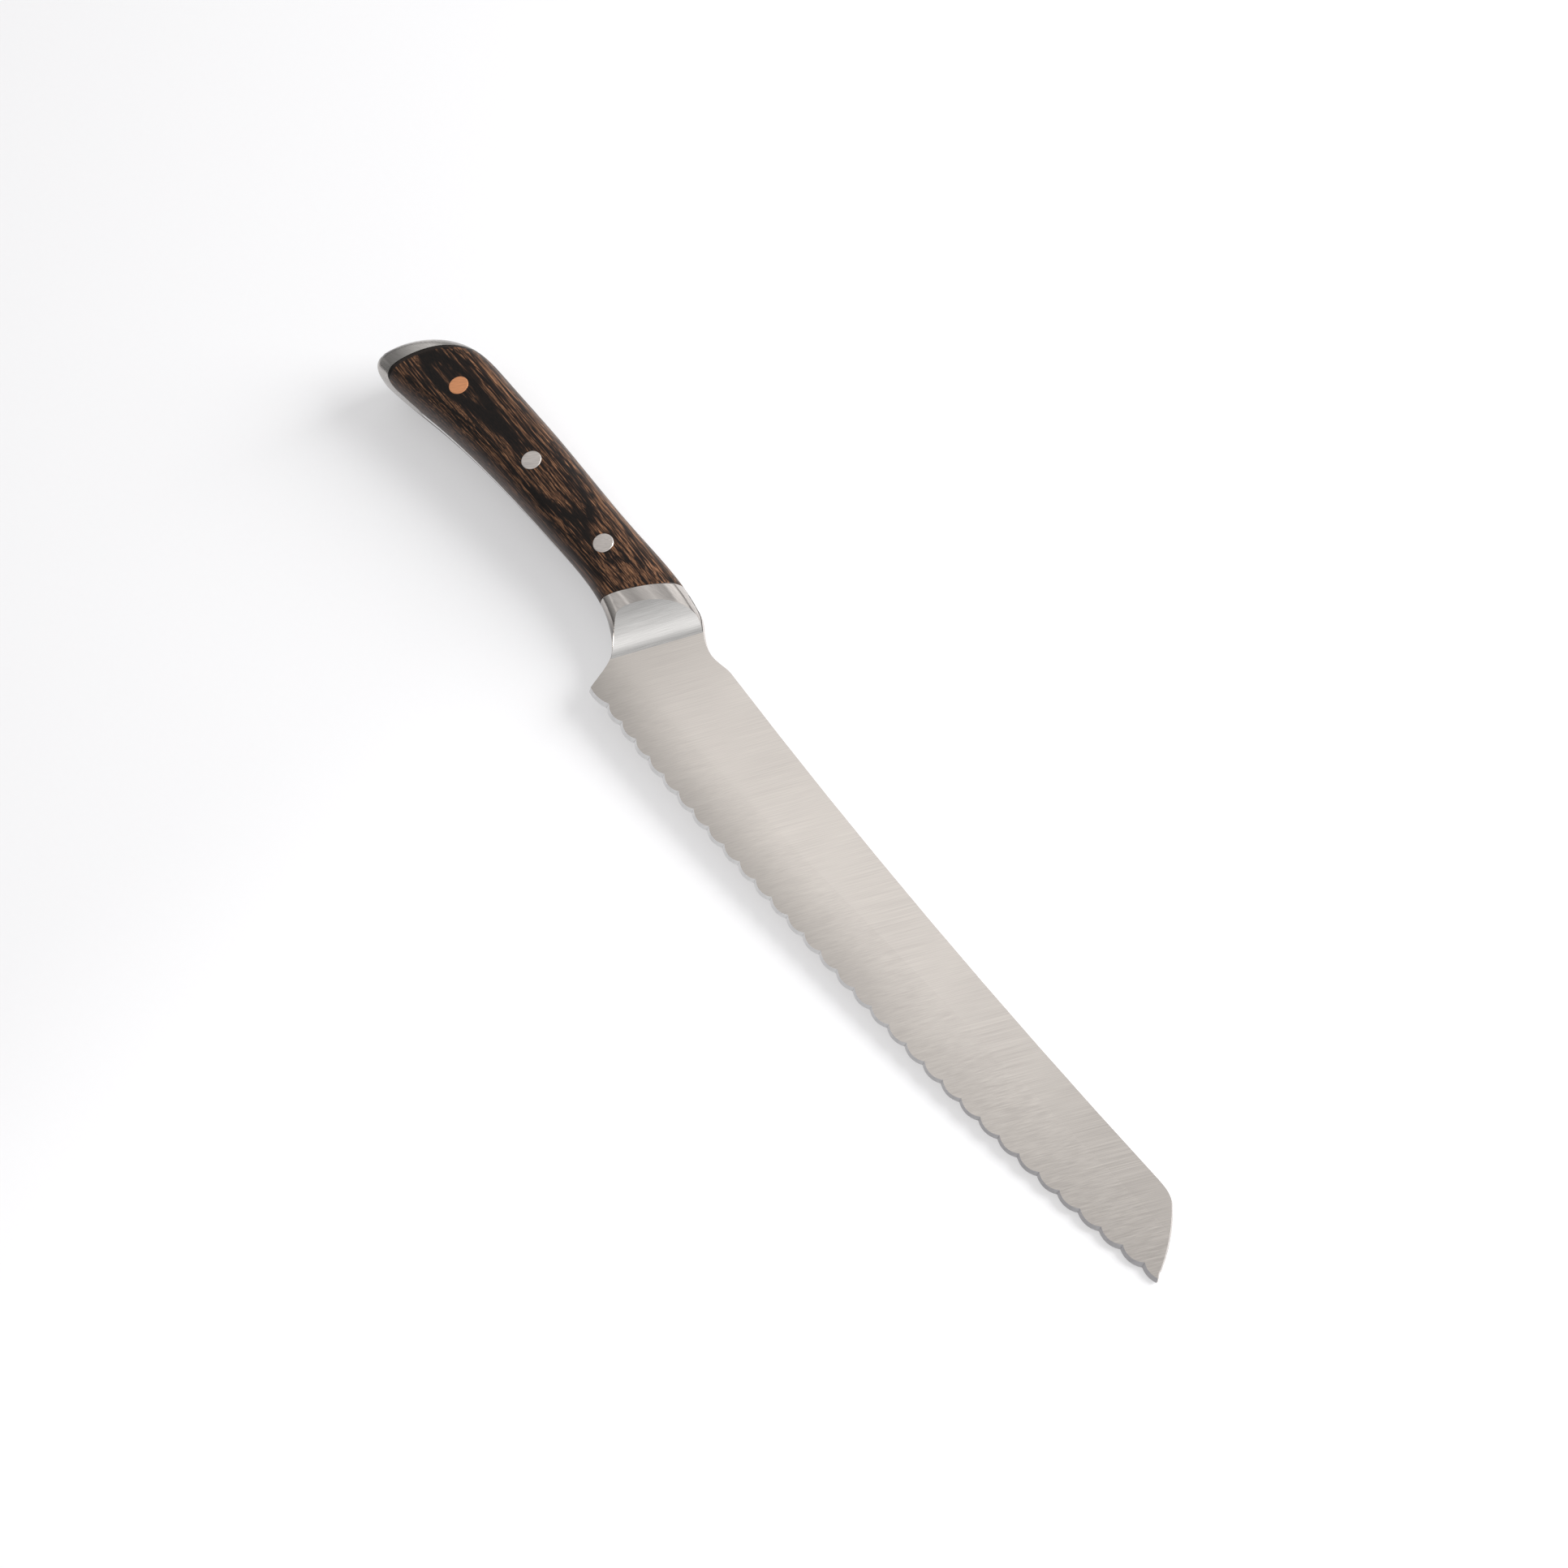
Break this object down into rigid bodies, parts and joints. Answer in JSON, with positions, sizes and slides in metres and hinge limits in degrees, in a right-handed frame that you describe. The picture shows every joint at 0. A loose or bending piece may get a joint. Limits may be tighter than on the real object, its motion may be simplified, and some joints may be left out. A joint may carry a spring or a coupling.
{
  "type": "bread knife",
  "caption": "Long straight-backed bread knife with a scalloped edge, full tang, slanted steel bolster, dark wooden scales, flush rivets and a steel butt cap.",
  "frame": {"origin": "on the middle plane of the blade, where the bolster's ramp ends and the flat blade begins", "axes": "+X along the blade to the tip, +Y up to the spine, +Z out of the right face, the face that carries the edge bevel"},
  "size_m": [0.3782, 0.041, 0.0198],
  "materials": {
    "blade_steel": "satin, brushed across the blade at a slant",
    "bolster_steel": "polished sides, ramp brushed along its slant",
    "cap_steel": "fine satin",
    "scale_wood": "dark resin-filled laminate, near-black with brown streaks, low sheen",
    "rivet_steel": "ground flush, brushed",
    "rivet_copper": "copper, ground flush, brushed"
  },
  "bodies": {
    "root": {"blade_and_tang": "blade_steel", "bolster_right": "bolster_steel", "bolster_left": "bolster_steel", "butt_cap": "cap_steel", "scale_right": "scale_wood", "scale_left": "scale_wood", "rivet_front_male": "rivet_steel", "rivet_front_female": "rivet_steel", "rivet_middle_male": "rivet_steel", "rivet_middle_female": "rivet_steel", "rivet_rear_male": "rivet_copper", "rivet_rear_female": "rivet_copper"}
  },
  "joints": []
}
